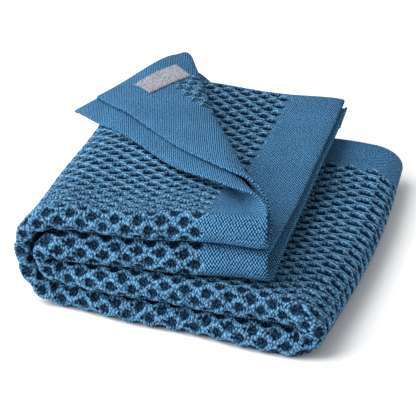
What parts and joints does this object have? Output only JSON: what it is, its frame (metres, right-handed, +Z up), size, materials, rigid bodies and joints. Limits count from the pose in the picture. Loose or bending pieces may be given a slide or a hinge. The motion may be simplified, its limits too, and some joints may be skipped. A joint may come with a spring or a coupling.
{
  "type": "folded knitted baby blanket",
  "caption": "Knitted baby blanket folded to a neat pile with round front folds, one back corner turned over to show a small felt label.",
  "frame": {"origin": "on the ground under the middle of the folded pile's bounding box", "axes": "+X to the right along the folded strip, +Y from the round front folds to the back edges, +Z up"},
  "size_m": [0.3166, 0.3962, 0.1187],
  "materials": {
    "blue_knit": "matt wool knit with open pockets",
    "grey_felt": "matt mottled felt"
  },
  "bodies": {
    "root": {"blanket": "blue_knit", "label": "grey_felt"}
  },
  "joints": []
}
